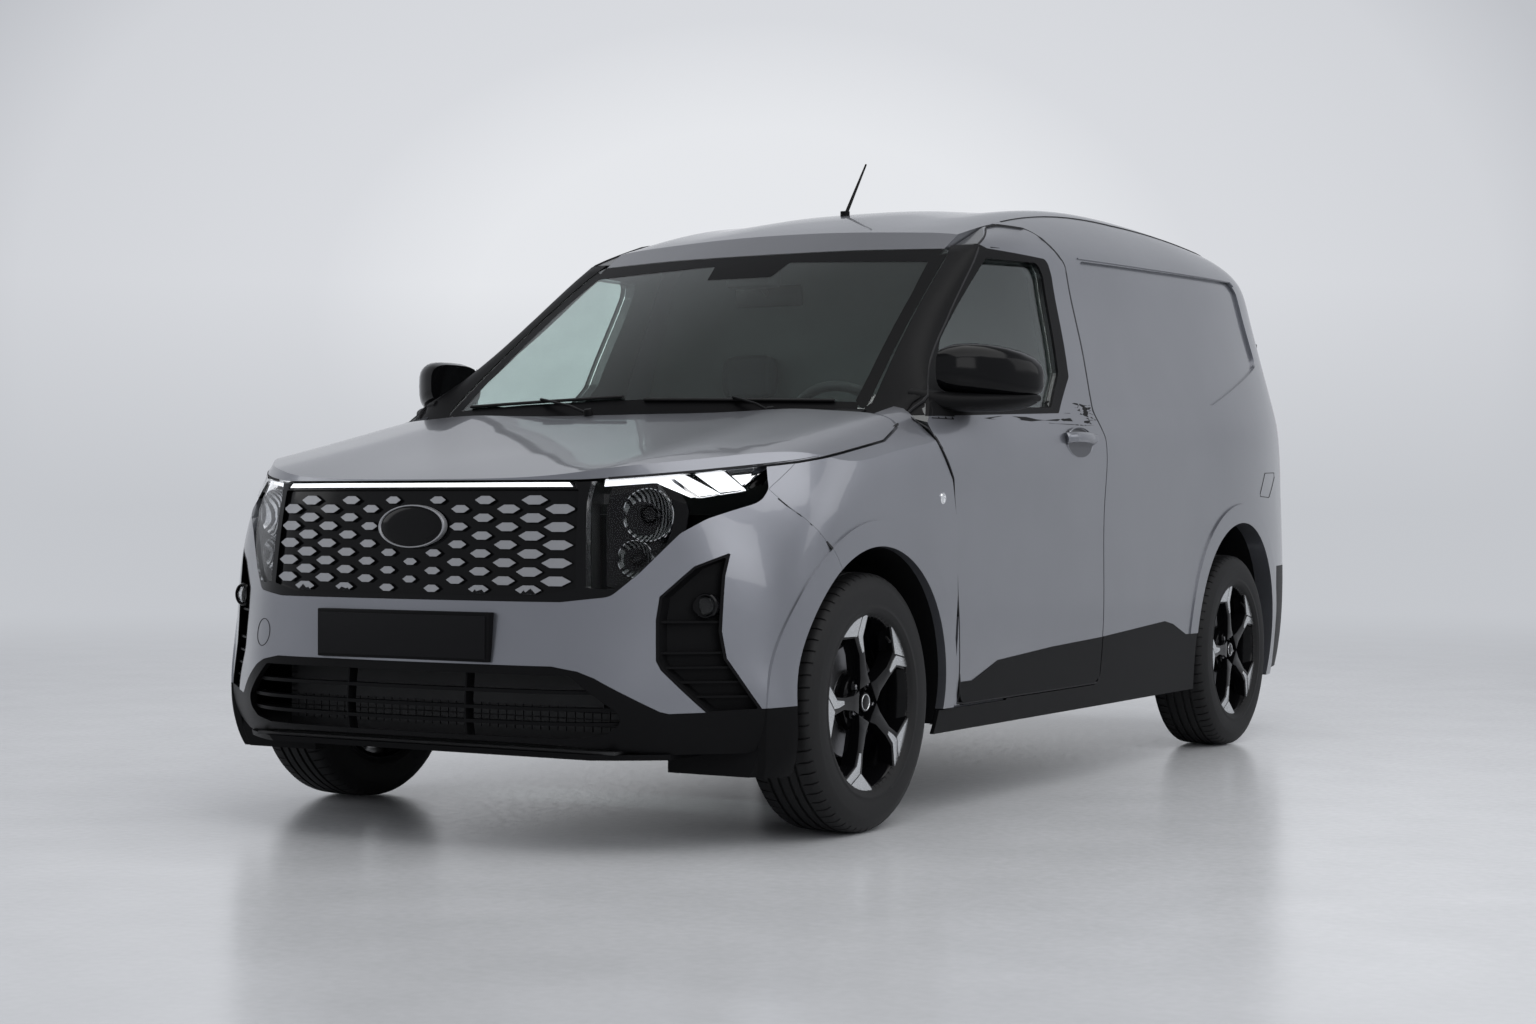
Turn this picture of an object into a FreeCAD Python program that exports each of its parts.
import FreeCAD, Part
import math
import os
import Sketcher
from FreeCAD import Vector

# A small electric panel van. Lengths are in millimetres. +Z is up, the front
# faces -Y, the vehicle's left is +X, and the origin lies on the ground at
# mid-length on the centre line.

SIZES = {
    # the vehicle as a whole
    "wheelbase": 2692.0,
    "front_overhang": 800.0,
    "rear_overhang": 845.0,
    "half_width": 900.0,
    "body_height": 1815.0,
    # body walls and gaps
    "side_wall": 55.0,
    "nose_wall": 18.0,
    "bonnet_depth": 34.0,
    "shut_gap": 6.0,
    "shut_slope": 0.22,
    "glass_thickness": 5.0,
    "windscreen_bow": 14.0,
    "windscreen_sweep": 64.0,
    "windscreen_drop": 15.0,
    "bonnet_drop": 8.0,
    "bonnet_roll": 120.0,
    "bonnet_ridge": 9.0,
    "rear_crown": 34.0,
    "recess_depth": 10.0,
    "corner_radius": 40.0,
    "seam_gap": 0.8,
    "panel_radius": 3.0,
    # wheels
    "track_half": 780.0,
    "tyre_radius": 328.0,
    "tyre_width": 205.0,
    "tyre_shoulder": 26.0,
    "rim_radius": 216.0,
    "rim_lip": 17.0,
    "rim_depth": 190.0,
    "rim_wall": 9.0,
    "spoke_depth": 34.0,
    "spoke_width": 26.0,
    "hub_radius": 72.0,
    "arch_radius": 393.0,
    "rear_arch_radius": 415.0,
    "rear_arch_lift": 24.0,
    "liner_wall": 6.0,
    "arch_flare": 6.0,
    "arch_flare_width": 66.0,
    "wheelhouse_inner": 486.0,
    "disc_radius": 142.0,
    "disc_thickness": 24.0,
    "stop_radius": 9.0,
    "kingpin_half": 722.0,
    "spindle_radius": 22.0,
    "spindle_length": 40.0,
    "knuckle_depth": 155.0,
    "knuckle_width": 100.0,
    "knuckle_height": 190.0,
    "strut_foot": 200.0,
    "arm_thickness": 24.0,
    "rail_width": 70.0,
    "rail_height": 80.0,
    "trailing_arm": 450.0,
    "spring_radius": 55.0,
    # cab and load space
    "cowl_depth": 62.0,
    "dash_depth": 250.0,
    "seat_plinth": 170.0,
    "head_rest": 210.0,
    "floor_height": 300.0,
    "floor_thickness": 30.0,
    "load_floor_height": 540.0,
    "bulkhead_place": 1560.0,
    "bulkhead_thickness": 30.0,
    "seat_width": 470.0,
    "seat_cushion_depth": 500.0,
    "seat_cushion_height": 140.0,
    "seat_back_height": 620.0,
    "seat_back_depth": 130.0,
    "seat_place": 370.0,
    "wheel_place": 800.0,
    "wheel_height": 1000.0,
    "column_lean": 65.0,
    "wheel_rim_radius": 182.0,
    "wheel_rim_thickness": 15.0,
    "battery_length": 1350.0,
    "battery_width": 1080.0,
    "battery_height": 110.0,
    "ground_clearance": 168.0,
    "axle_tube_radius": 34.0,
    # outside fittings
    "antenna_length": 232.0,
    "antenna_radius": 3.0,
    "antenna_lean": 38.0,
    "mirror_reach": 1037.0,
    "trim_depth": 8.0,
    "cladding_proud": 3.0,
    "tab_depth": 9.0,
    "light_bar_depth": 10.0,
    "pod_depth": 34.0,
    "pod_wall": 6.0,
    "fog_lamp_radius": 25.0,
    "slat_height": 8.0,
    "slat_depth": 30.0,
    "handle_length": 200.0,
    "handle_height": 26.0,
    "handle_stand": 30.0,
    "handle_wall": 10.0,
    "cup_radius": 46.0,
    "cup_depth": 16.0,
    "mount_plate": 4.0,
    "clearance": 5.0,
    "seat_gap": 0.3,
    "overrun": 60.0,
}

doc = FreeCAD.newDocument("panel_van")
d = doc.addObject("Spreadsheet::Sheet", "sizes")
for row, (name, value) in enumerate(SIZES.items(), 1):
    d.set("A%d" % row, name)
    d.set("B%d" % row, str(value))
    d.setAlias("B%d" % row, name)
doc.recompute()

# Places along the body are shares: -1 to 0 over the front overhang, 0 to 1
# between the axles and 1 to 2 over the rear overhang. Heights are shares of
# the body's height and half-widths are shares of the half width.

LENGTH = d.front_overhang + d.wheelbase + d.rear_overhang
FRONT_AXLE = d.front_overhang - LENGTH / 2
REAR_AXLE = FRONT_AXLE + d.wheelbase


def along(share):
    if share < 0:
        return FRONT_AXLE + share * d.front_overhang
    if share <= 1:
        return FRONT_AXLE + share * d.wheelbase
    return REAR_AXLE + (share - 1) * d.rear_overhang


def height(share):
    return share * d.body_height


def half(share):
    return share * d.half_width


def behind_axle(length):
    return FRONT_AXLE + length


# Curves and surfaces

def rounded_wire(points, radius):
    """A closed wire through the corners, each rounded as far as its sides allow."""
    edges = []
    ends = []
    count = len(points)
    for i in range(count):
        before, corner, after = points[i - 1], points[i], points[(i + 1) % count]
        back = before.sub(corner)
        ahead = after.sub(corner)
        angle = back.getAngle(ahead)
        reach = min(radius / math.tan(angle / 2), 0.45 * back.Length, 0.45 * ahead.Length)
        back.normalize()
        ahead.normalize()
        first = corner + back * reach
        last = corner + ahead * reach
        bisector = (back + ahead)
        if bisector.Length < 1e-6 or reach < 1e-6:
            ends.append((corner, corner, None))
            continue
        bisector.normalize()
        arc_radius = reach * math.tan(angle / 2)
        middle = corner + bisector * (reach / math.cos(angle / 2) - arc_radius)
        ends.append((first, last, middle))
    for i in range(count):
        first, last, middle = ends[i]
        if middle is not None:
            edges.append(Part.Arc(first, middle, last).toShape())
        edges.append(Part.LineSegment(last, ends[(i + 1) % count][0]).toShape())
    return Part.Wire(edges)


def inset(points, distance):
    """Moves each side of a closed outline of (a, b) pairs inwards."""
    count = len(points)
    area = sum(points[i][0] * points[(i + 1) % count][1] - points[(i + 1) % count][0] * points[i][1]
               for i in range(count))
    turn = distance if area > 0 else -distance
    moved = []
    for i in range(count):
        a, b, c = points[i - 1], points[i], points[(i + 1) % count]
        first = (b[0] - a[0], b[1] - a[1])
        last = (c[0] - b[0], c[1] - b[1])
        n1 = (-first[1] / math.hypot(*first), first[0] / math.hypot(*first))
        n2 = (-last[1] / math.hypot(*last), last[0] / math.hypot(*last))
        scale = turn / (1 + n1[0] * n2[0] + n1[1] * n2[1])
        moved.append((b[0] + (n1[0] + n2[0]) * scale, b[1] + (n1[1] + n2[1]) * scale))
    return moved


def side_points(shares):
    """Side-view outline in shares to (y, z) pairs."""
    return [(along(y), height(z)) for y, z in shares]


def front_points(shares):
    """Front-view outline in shares to (x, z) pairs."""
    return [(half(x), height(z)) for x, z in shares]


def plan_points(shares):
    """Plan outline in shares to (x, y) pairs."""
    return [(half(x), along(y)) for x, y in shares]


def side_prism(pairs, start, end, radius=None):
    radius = d.corner_radius if radius is None else radius
    wire = rounded_wire([Vector(start, y, z) for y, z in pairs], radius)
    return Part.Face(wire).extrude(Vector(end - start, 0, 0))


def front_prism(pairs, start, end, radius=None):
    radius = d.corner_radius if radius is None else radius
    wire = rounded_wire([Vector(x, start, z) for x, z in pairs], radius)
    return Part.Face(wire).extrude(Vector(0, end - start, 0))


def plan_prism(pairs, start, end, radius=None):
    radius = d.corner_radius if radius is None else radius
    wire = rounded_wire([Vector(x, y, start) for x, y in pairs], radius)
    return Part.Face(wire).extrude(Vector(0, 0, end - start))


def box(x0, x1, y0, y1, z0, z1):
    return Part.makeBox(x1 - x0, y1 - y0, z1 - z0, Vector(x0, y0, z0))


def spline(points, places):
    curve = Part.BSplineCurve()
    curve.interpolate(Points=points, Parameters=places)
    return curve


def spacing(rows):
    """Shares of the way along rows of points, as a mean over all of them."""
    total = [0.0] * len(rows[0])
    for row in rows:
        run = [0.0]
        for a, b in zip(row, row[1:]):
            run.append(run[-1] + a.distanceToPoint(b))
        for i, way in enumerate(run):
            total[i] += way / run[-1] / len(rows)
    return total


def fitted(grid):
    """A smooth surface through rows of points."""
    across = spacing(grid)
    columns = [list(column) for column in zip(*grid)]
    down = spacing(columns)
    rows = [spline(row, across) for row in grid]
    lines = [spline(list(column), down) for column in zip(*[row.getPoles() for row in rows])]
    surface = Part.BSplineSurface()
    surface.buildFromPolesMultsKnots(
        [line.getPoles() for line in lines],
        rows[0].getMultiplicities(), lines[0].getMultiplicities(),
        rows[0].getKnots(), lines[0].getKnots(), False, False, rows[0].Degree, lines[0].Degree)
    return surface.toShape()


def closed(faces):
    shell = Part.Shell(faces)
    shell.sewShape()
    solid = Part.Solid(shell)
    if solid.Volume < 0:
        solid.reverse()
    return solid


def capped(grid):
    """A solid whose skin passes through rows of points and whose open sides are flat."""
    skin = fitted(grid)
    edges = skin.Edges
    faces = [skin]
    corners = [grid[0][0], grid[0][-1], grid[-1][-1], grid[-1][0]]
    first = nearest_edge(edges, grid[0][0], grid[0][-1])
    last = nearest_edge(edges, grid[-1][0], grid[-1][-1])
    start = nearest_edge(edges, grid[0][0], grid[-1][0])
    end = nearest_edge(edges, grid[0][-1], grid[-1][-1])
    line_first = Part.LineSegment(corners[0], corners[1]).toShape()
    line_last = Part.LineSegment(corners[3], corners[2]).toShape()
    faces.append(Part.Face(Part.Wire([first, line_first])))
    faces.append(Part.Face(Part.Wire([last, line_last])))
    faces.append(Part.Face(Part.Wire(Part.__sortEdges__([start, line_last, end, line_first]))))
    return closed(faces)


def nearest_edge(edges, a, b):
    def gap(edge):
        ends = [vertex.Point for vertex in edge.Vertexes]
        return min(ends[0].distanceToPoint(a) + ends[-1].distanceToPoint(b),
                   ends[0].distanceToPoint(b) + ends[-1].distanceToPoint(a))
    return min(edges, key=gap)


def pushed(points, distance, along_axis):
    """Moves the points of one section inwards, square to the section's run."""
    moved = []
    for i, point in enumerate(points):
        run = points[min(i + 1, len(points) - 1)].sub(points[max(i - 1, 0)])
        inward = run.cross(along_axis)
        inward.normalize()
        moved.append(point + inward * distance)
    return moved


# The skin of the cabin: for each station its place, the half-widths at five
# heights up to the crease, at four heights from the belt to the gutter, the
# gutter's height, the roof edge and the roof's height on the centre line, and
# how far the section leans forward.

LOWER_HEIGHT_SHARES = (0.1295, 0.1928, 0.3306, 0.4683)
CREASE_SHARE = 0.5427
CREASE_RISE_SHARE = 0.0549
BELT_SHARE = 0.0413
UPPER_STEP_SHARES = (0.0, 0.38, 0.79, 1.0)
ROOF_STEP_SHARES = (0.7, 0.35)
CABIN_SHARES = (
    (-0.250, (0.939, 0.969, 0.989, 0.992, 0.983), (0.939, 0.844, 0.767, 0.722), 0.650, (0.622, 0.656), 0.661, 0.0),
    (0.111, (0.942, 0.973, 0.992, 0.997, 0.993), (0.962, 0.861, 0.787, 0.761), 0.733, (0.644, 0.741), 0.749, 0.0),
    (0.241, (0.944, 0.976, 0.993, 0.998, 0.997), (0.969, 0.872, 0.784, 0.742), 0.802, (0.639, 0.814), 0.826, 0.0),
    (0.368, (0.948, 0.978, 0.994, 0.999, 0.999), (0.973, 0.896, 0.809, 0.758), 0.861, (0.639, 0.883), 0.898, 0.0),
    (0.464, (0.951, 0.979, 0.994, 0.999, 1.000), (0.976, 0.920, 0.847, 0.802), 0.875, (0.667, 0.919), 0.941, 0.0),
    (0.576, (0.953, 0.980, 0.994, 0.999, 1.000), (0.978, 0.926, 0.864, 0.828), 0.883, (0.680, 0.949), 0.974, 0.0),
    (0.854, (0.953, 0.980, 0.994, 0.999, 0.999), (0.978, 0.924, 0.871, 0.836), 0.894, (0.687, 0.971), 0.998, 0.0),
    (1.329, (0.944, 0.969, 0.984, 0.988, 0.986), (0.964, 0.906, 0.853, 0.817), 0.902, (0.669, 0.964), 0.990, 0.02),
    (1.755, (0.887, 0.911, 0.927, 0.924, 0.913), (0.896, 0.847, 0.796, 0.759), 0.904, (0.622, 0.950), 0.974, 0.045),
    (1.903, (0.839, 0.863, 0.880, 0.878, 0.867), (0.849, 0.800, 0.749, 0.711), 0.899, (0.578, 0.938), 0.960, 0.055),
    (2.030, (0.740, 0.764, 0.780, 0.778, 0.767), (0.750, 0.705, 0.660, 0.625), 0.888, (0.500, 0.922), 0.940, 0.065),
)


def cabin_section(station, wall):
    place, lower, upper, gutter, edge, crown, lean = station
    crease = CREASE_SHARE + CREASE_RISE_SHARE * (along(place) - FRONT_AXLE) / d.wheelbase
    belt = crease + BELT_SHARE
    heights = list(LOWER_HEIGHT_SHARES) + [crease]
    heights += [belt + step * (gutter - belt) for step in UPPER_STEP_SHARES]
    outs = list(lower) + list(upper)
    heights.append(edge[1])
    outs.append(edge[0])
    left = []
    for out, up in zip(outs, heights):
        back = lean * height(up - heights[0])
        left.append(Vector(half(out), along(place) - back, height(up)))
    for share in ROOF_STEP_SHARES:
        up = crown - (crown - edge[1]) * share ** 2
        left.append(Vector(half(edge[0] * share), along(place) - lean * height(up - heights[0]), height(up)))
    top = Vector(0, along(place) - lean * height(crown - heights[0]), height(crown))
    right = [Vector(-p.x, p.y, p.z) for p in reversed(left)]
    points = left + [top] + right
    if wall:
        points = pushed(points, wall, Vector(0, 1, 0))
        points[0].z = left[0].z - d.overrun
        points[-1].z = left[0].z - d.overrun
        start = along(place) - (d.overrun if station is CABIN_SHARES[0] else 0)
        for point in points:
            point.y = start - lean * (point.z - left[0].z)
    return points


def cabin_hull(wall=0):
    return capped([cabin_section(station, wall) for station in CABIN_SHARES])


# The skin of the nose: plan curves at rising heights, from the centre line to
# the side behind the wheel.

NOSE_SHARES = (
    (0.1295, ((0.000, -0.890), (0.278, -0.882), (0.506, -0.850), (0.689, -0.750),
              (0.844, -0.600), (0.928, -0.475), (0.944, -0.250),
              (0.948, 0.030), (0.947, 0.100), (0.942, 0.169))),
    (0.1653, ((0.000, -0.973), (0.278, -0.961), (0.522, -0.914), (0.711, -0.775),
              (0.889, -0.600), (0.976, -0.487), (0.987, -0.250),
              (0.985, 0.030), (0.980, 0.100), (0.973, 0.169))),
    (0.2369, ((0.000, -0.965), (0.278, -0.955), (0.528, -0.916), (0.700, -0.790),
              (0.861, -0.635), (0.962, -0.494), (0.991, -0.250),
              (0.992, 0.030), (0.990, 0.100), (0.984, 0.169))),
    (0.3085, ((0.000, -0.946), (0.278, -0.936), (0.522, -0.892), (0.694, -0.777),
              (0.861, -0.625), (0.962, -0.475), (0.992, -0.250),
              (0.994, 0.030), (0.995, 0.100), (0.992, 0.169))),
    (0.3857, ((0.000, -0.931), (0.278, -0.920), (0.517, -0.873), (0.683, -0.762),
              (0.853, -0.613), (0.958, -0.450), (0.992, -0.250),
              (0.996, 0.030), (0.998, 0.100), (0.997, 0.169))),
    (0.4683, ((0.000, -0.905), (0.278, -0.892), (0.500, -0.850), (0.667, -0.735),
              (0.828, -0.573), (0.939, -0.394), (0.984, -0.225),
              (0.994, 0.030), (0.998, 0.100), (0.998, 0.169))),
    (0.5124, ((0.000, -0.875), (0.278, -0.863), (0.489, -0.819), (0.656, -0.700),
              (0.806, -0.531), (0.900, -0.388), (0.962, -0.212),
              (0.988, 0.030), (0.997, 0.100), (0.999, 0.169))),
    (0.5565, ((0.000, -0.800), (0.278, -0.787), (0.478, -0.744), (0.633, -0.625),
              (0.778, -0.475), (0.872, -0.338), (0.936, -0.175),
              (0.970, 0.030), (0.985, 0.100), (0.993, 0.169))),
    (0.6116, ((0.000, -0.700), (0.278, -0.688), (0.467, -0.644), (0.611, -0.537),
              (0.756, -0.388), (0.839, -0.263), (0.889, -0.125),
              (0.925, 0.030), (0.938, 0.100), (0.944, 0.169))),
)


def nose_section(level, wall):
    up, curve = level
    left = [Vector(half(x), along(y), height(up)) for x, y in curve]
    right = [Vector(-p.x, p.y, p.z) for p in left[1:]]
    points = list(reversed(left)) + right
    if wall:
        rear = points[0].y + d.overrun
        points = pushed(points, wall, Vector(0, 0, 1))
        points[0].y = rear
        points[-1].y = rear
        if level is NOSE_SHARES[0]:
            points = [point - Vector(0, 0, d.overrun) for point in points]
    return points


def nose_hull(wall=0):
    return capped([nose_section(level, wall) for level in NOSE_SHARES])


# The three crowned surfaces that close the body: the bonnet, the windscreen
# and the rear. Each is a formula over the width.

WIDTH_STEP_SHARES = (-1.06, -0.8, -0.5, -0.2, 0.2, 0.5, 0.8, 1.06)
BONNET_STEP_SHARES = (-1.03, -0.97, -0.92, -0.86, -0.78, -0.68, -0.58, -0.46, -0.3, -0.1,
                      0.1, 0.3, 0.46, 0.58, 0.68, 0.78, 0.86, 0.92, 0.97, 1.03)
BONNET_ROLL_POWER = 20
RIDGE_PLACE_SHARE = 0.58
RIDGE_WIDTH_SHARE = 0.16
BONNET_LINE_SHARES = ((-1.05, 0.470), (-0.835, 0.4942), (-0.5, 0.5245), (-0.125, 0.5576),
                      (0.0825, 0.5945), (0.18, 0.622))
WINDSCREEN_BASE_SHARES = (0.0825, 0.5945)
WINDSCREEN_HEAD_SHARES = (0.3473, 0.8705)
WINDSCREEN_STEP_SHARES = (-0.35, 0.0, 0.33, 0.66, 1.0, 1.5)
REAR_HEIGHT_SHARES = (0.05, 0.35, 0.7, 1.08)
REAR_LEAN_SHARE = 0.06
REAR_DOOR_START_SHARE = 1.75
ANTENNA_SHARES = (0.5464, 0.966)
REAR_BUMPER_SHARES = (1.56, 0.335)
ROOF_START_SHARE = 0.8
WINDSCREEN_SHARES = ((0.79, 0.586), (0.745, 0.70), (0.684, 0.8667), (0.35, 0.8705))


def bonnet_surface(drop=0):
    grid = []
    for place, up in BONNET_LINE_SHARES:
        row = []
        for x in BONNET_STEP_SHARES:
            fall = d.bonnet_drop * x ** 2 + d.bonnet_roll * x ** BONNET_ROLL_POWER
            rise = d.bonnet_ridge * math.exp(-((abs(x) - RIDGE_PLACE_SHARE) / RIDGE_WIDTH_SHARE) ** 2)
            row.append(Vector(half(x), along(place), height(up) - fall + rise - drop))
        grid.append(row)
    return fitted(grid)


def windscreen_surface(depth=0):
    base = Vector(0, along(WINDSCREEN_BASE_SHARES[0]), height(WINDSCREEN_BASE_SHARES[1]))
    head = Vector(0, along(WINDSCREEN_HEAD_SHARES[0]), height(WINDSCREEN_HEAD_SHARES[1]))
    run = head.sub(base)
    square = Vector(0, -run.z, run.y)
    square.normalize()
    grid = []
    for t in WINDSCREEN_STEP_SHARES:
        row = []
        for x in WIDTH_STEP_SHARES:
            bow = d.windscreen_bow * 4 * t * (1 - t)
            point = base + run * t + square * (bow - depth)
            back = d.windscreen_sweep * (x / 0.79) ** 2
            fall = d.windscreen_drop * (x / 0.79) ** 2
            row.append(Vector(half(x), point.y + back, point.z - fall))
        grid.append(row)
    return fitted(grid)


def rear_surface(depth=0):
    grid = []
    for up in REAR_HEIGHT_SHARES:
        row = []
        for x in WIDTH_STEP_SHARES:
            lean = REAR_LEAN_SHARE * height(max(up - 0.35, 0))
            row.append(Vector(half(x), along(2) - depth - lean - d.rear_crown * (x / 0.83) ** 2, height(up)))
        grid.append(row)
    return fitted(grid)


BIG = 3 * d.half_width

above_bonnet = bonnet_surface().extrude(Vector(0, 0, BIG))
above_liner = bonnet_surface(d.bonnet_depth).extrude(Vector(0, 0, BIG))
ahead_of_glass = windscreen_surface().extrude(Vector(0, -BIG / 2, BIG / 2))
ahead_of_inner = windscreen_surface(d.side_wall).extrude(Vector(0, -BIG / 2, BIG / 2))
behind_body = rear_surface().extrude(Vector(0, BIG, 0))
behind_inner = rear_surface(d.side_wall).extrude(Vector(0, BIG, 0))

nose = nose_hull().cut(above_bonnet)
nose_inner = nose_hull(d.nose_wall).cut(above_liner)
cabin = cabin_hull().cut(ahead_of_glass).cut(behind_body)
cabin_inner = cabin_hull(d.side_wall).cut(ahead_of_inner).cut(behind_inner)
nose_slab = nose.cut(nose_inner)
cabin_slab = cabin.cut(cabin_inner)
side_shell = cabin.cut(cabin_hull(d.side_wall))


def ring(radius, place, lift):
    """A disc round a wheel's arch and its flare, out through the left side."""
    return Part.makeCylinder(radius + d.arch_flare_width, BIG, Vector(half(0.7), place, d.tyre_radius + lift),
                             Vector(1, 0, 0))


def both(shape):
    return shape.fuse(shape.mirror(Vector(), Vector(1, 0, 0)))


front_flare = nose_hull(-d.arch_flare).cut(nose_hull(d.nose_wall / 2)).common(ring(d.arch_radius, FRONT_AXLE, 0))
rear_flare = cabin_hull(-d.arch_flare).cut(cabin_hull(d.nose_wall / 2))
rear_flare = rear_flare.common(ring(d.rear_arch_radius, REAR_AXLE, d.rear_arch_lift)).cut(behind_body)
nose_slab = nose_slab.fuse(both(front_flare))
cabin_slab = cabin_slab.fuse(both(rear_flare))
print("hulls", nose.isValid(), cabin.isValid(), nose_slab.isValid(), cabin_slab.isValid())


# Parts are gathered here in the order in which they are written out.

nodes = []


def part(name, shape):
    """A sub-part whose shape is worked out from the sheet's sizes."""
    feature = doc.addObject("Part::Feature", name)
    feature.Label = name
    feature.Shape = shape
    feature.Placement = FreeCAD.Placement()
    nodes.append(feature)
    return feature


def bind(feature, **formulas):
    """Ties the sizes of an object to the sheet."""
    for name, formula in formulas.items():
        feature.setExpression(name.replace("_dot_", "."), formula)
    return feature


def place(feature, x=0, y=0, z=0, axis=Vector(0, 0, 1), angle=0):
    feature.Placement = FreeCAD.Placement(Vector(x, y, z), FreeCAD.Rotation(axis, angle))
    return feature


def keep(feature, name):
    """Marks an object of the document as a sub-part with its own file."""
    feature.Label = name
    nodes.append(feature)
    return feature


def mirrored(shape):
    return shape.mirror(Vector(), Vector(1, 0, 0))


def pair(stem, shape):
    """The left piece as it is and the right piece as its mirror image."""
    part(stem + "_left", shape)
    part(stem + "_right", mirrored(shape))


def biggest(shape):
    return max(shape.Solids, key=lambda solid: solid.Volume)


# Outlines of the body's panels in side view, as shares

DOOR_SHARES = ((0.1048, 0.5785), (0.130, 0.5372), (0.1553, 0.4931), (0.1668, 0.4287), (0.1705, 0.3306),
               (0.178, 0.25), (0.190, 0.160), (0.543, 0.160), (0.541, 0.5664), (0.524, 0.6105), (0.5485, 0.8595),
               (0.5201, 0.9174), (0.4643, 0.9212), (0.388, 0.876), (0.262, 0.7355))
DOOR_GLASS_SHARES = ((0.157, 0.599), (0.2368, 0.7055), (0.3829, 0.8509), (0.4825, 0.8547), (0.4868, 0.8325),
                     (0.4558, 0.6673), (0.4148, 0.6110))
DOOR_FRAME_SHARES = ((0.05, 0.579), (0.191, 0.73), (0.36, 0.9), (0.3962, 0.869), (0.5075, 0.8640), (0.5075, 0.8350),
                     (0.4804, 0.6649), (0.4297, 0.6028))
DOOR_CLADDING_SHARES = ((0.1, 0.192), (0.2146, 0.192), (0.2693, 0.2185), (0.4042, 0.2293), (0.5426, 0.2358),
                        (0.6, 0.2388), (0.6, 0.05), (0.1, 0.05))
SIDE_CLADDING_SHARES = ((0.3, 0.222), (0.4042, 0.2293), (0.5426, 0.2358), (0.7365, 0.2506), (0.7628, 0.2445),
                        (0.8094, 0.2229), (0.95, 0.2209), (0.95, 0.12), (0.12, 0.12), (0.12, 0.1545), (0.3, 0.1545))
SEAM_SHARES = ((-0.358, 0.62), (-0.358, 0.5133), (-0.479, 0.4749), (-0.445, 0.454), (-0.350, 0.4164),
               (-0.278, 0.3858), (-0.245, 0.366), (-0.245, 0.1))
BONNET_SIDE_SHARES = ((-1.2, 0.483), (-0.84, 0.487), (-0.358, 0.5133), (-0.1576, 0.527), (0.0306, 0.546),
                      (0.0738, 0.5700), (0.0738, 0.75), (-1.2, 0.75))
RECESS_SHARES = ((0.5889, 0.8715), (1.385, 0.897), (1.44, 0.88), (1.500, 0.7339), (0.9132, 0.6418), (0.5612, 0.6183))
BONNET_REAR_SHARES = ((0.0, 0.0725), (0.39, 0.0765), (0.79, 0.095), (1.3, 0.13))
REAR_DOOR_SHARES = ((0.0, 0.345), (0.775, 0.345), (0.775, 0.62), (0.66, 0.90), (0.56, 0.925), (0.0, 0.925))
TAIL_LAMP_SHARES = ((0.775, 0.47), (1.1, 0.47), (1.1, 0.70), (0.74, 0.70))
ROOF_SHARES = ((0.655, 0.340), (0.672, 0.50), (0.70, 0.80), (0.685, 1.33), (0.62, 1.80), (0.60, 2.1))
FACE_SHARES = ((0.862, 0.60), (0.862, 0.5133), (0.8855, 0.4749), (0.8791, 0.4579), (0.7884, 0.4361),
               (0.7362, 0.4170), (0.6541, 0.3643), (0.5959, 0.335), (0.4750, 0.3280))
LAMP_SHARES = ((0.5391, 0.3467), (0.5998, 0.3438), (0.6475, 0.3583), (0.6917, 0.3906), (0.7070, 0.4170),
               (0.7107, 0.4463), (0.6974, 0.4612), (0.6625, 0.4833), (0.6938, 0.4872), (0.7577, 0.4627),
               (0.8400, 0.4722), (0.8500, 0.5020), (0.8560, 0.53), (0.5381, 0.53), (0.5234, 0.4610))
LIGHT_BAR_SHARES = ((0.485, 0.4840), (0.499, 0.4762))
GRILLE_MESH_SHARES = ((0.500, 0.474), (0.513, 0.345), (0.41, 0.335))
TAB_COLUMNS = 6
TAB_PITCH_SHARES = (0.0763, 0.0235)
TAB_TOP_SHARES = (0.4484, 0.4602)
TAB_HALF_WIDTH_SHARES = (0.024, 0.042)
TAB_HALF_HEIGHT_SHARES = (0.0050, 0.0040)
TAB_TIP_SHARE = 0.42
SENSOR_SHARES = ((0.098, 0.425), (0.062, 0.4455), (-0.062, 0.4455), (-0.098, 0.425), (-0.062, 0.4045),
                 (0.062, 0.4045))
INTAKE_SHARES = ((0.515, 0.2335), (0.627, 0.187), (0.633, 0.178), (0.628, 0.169), (0.594, 0.157), (0.52, 0.1515))
SLAT_SHARES = (0.2112, 0.1890, 0.1700)
BAR_SHARES = (-0.2, 0.2)
POD_SHARES = ((0.8444, 0.392), (0.772, 0.374), (0.703, 0.335), (0.6985, 0.305), (0.704, 0.252), (0.715, 0.240),
              (0.8085, 0.1830), (0.9231, 0.1860), (0.847, 0.255), (0.8357, 0.29), (0.8375, 0.361))
FOG_LAMP_SHARES = (0.7985, 0.3230)
POD_RIB_SHARES = (0.302, 0.262, 0.243, 0.224, 0.205)
LOWER_FRONT_SHARES = ((0.4661, 0.2450), (0.5352, 0.2390), (0.5762, 0.2305), (0.6510, 0.2072), (0.7144, 0.1868),
                      (0.7322, 0.1839), (0.8083, 0.1850), (0.9767, 0.1911), (1.1, 0.1925), (1.1, 0.05))
DEFLECTOR_SHARES = ((0.615, 0.93), (-0.56, -0.505), (0.097, 0.16))
UNDERTRAY_SHARES = ((-0.72, 0.72), (-0.86, -0.56), (0.1225, 0.1300))
MIRROR_PLAN_SHARES = ((-0.164, 0.157), (0.131, 0.155), (0.591, 0.175), (0.887, 0.212), (1.0, 0.250), (0.985, 0.266),
                      (-0.10, 0.245))
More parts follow.
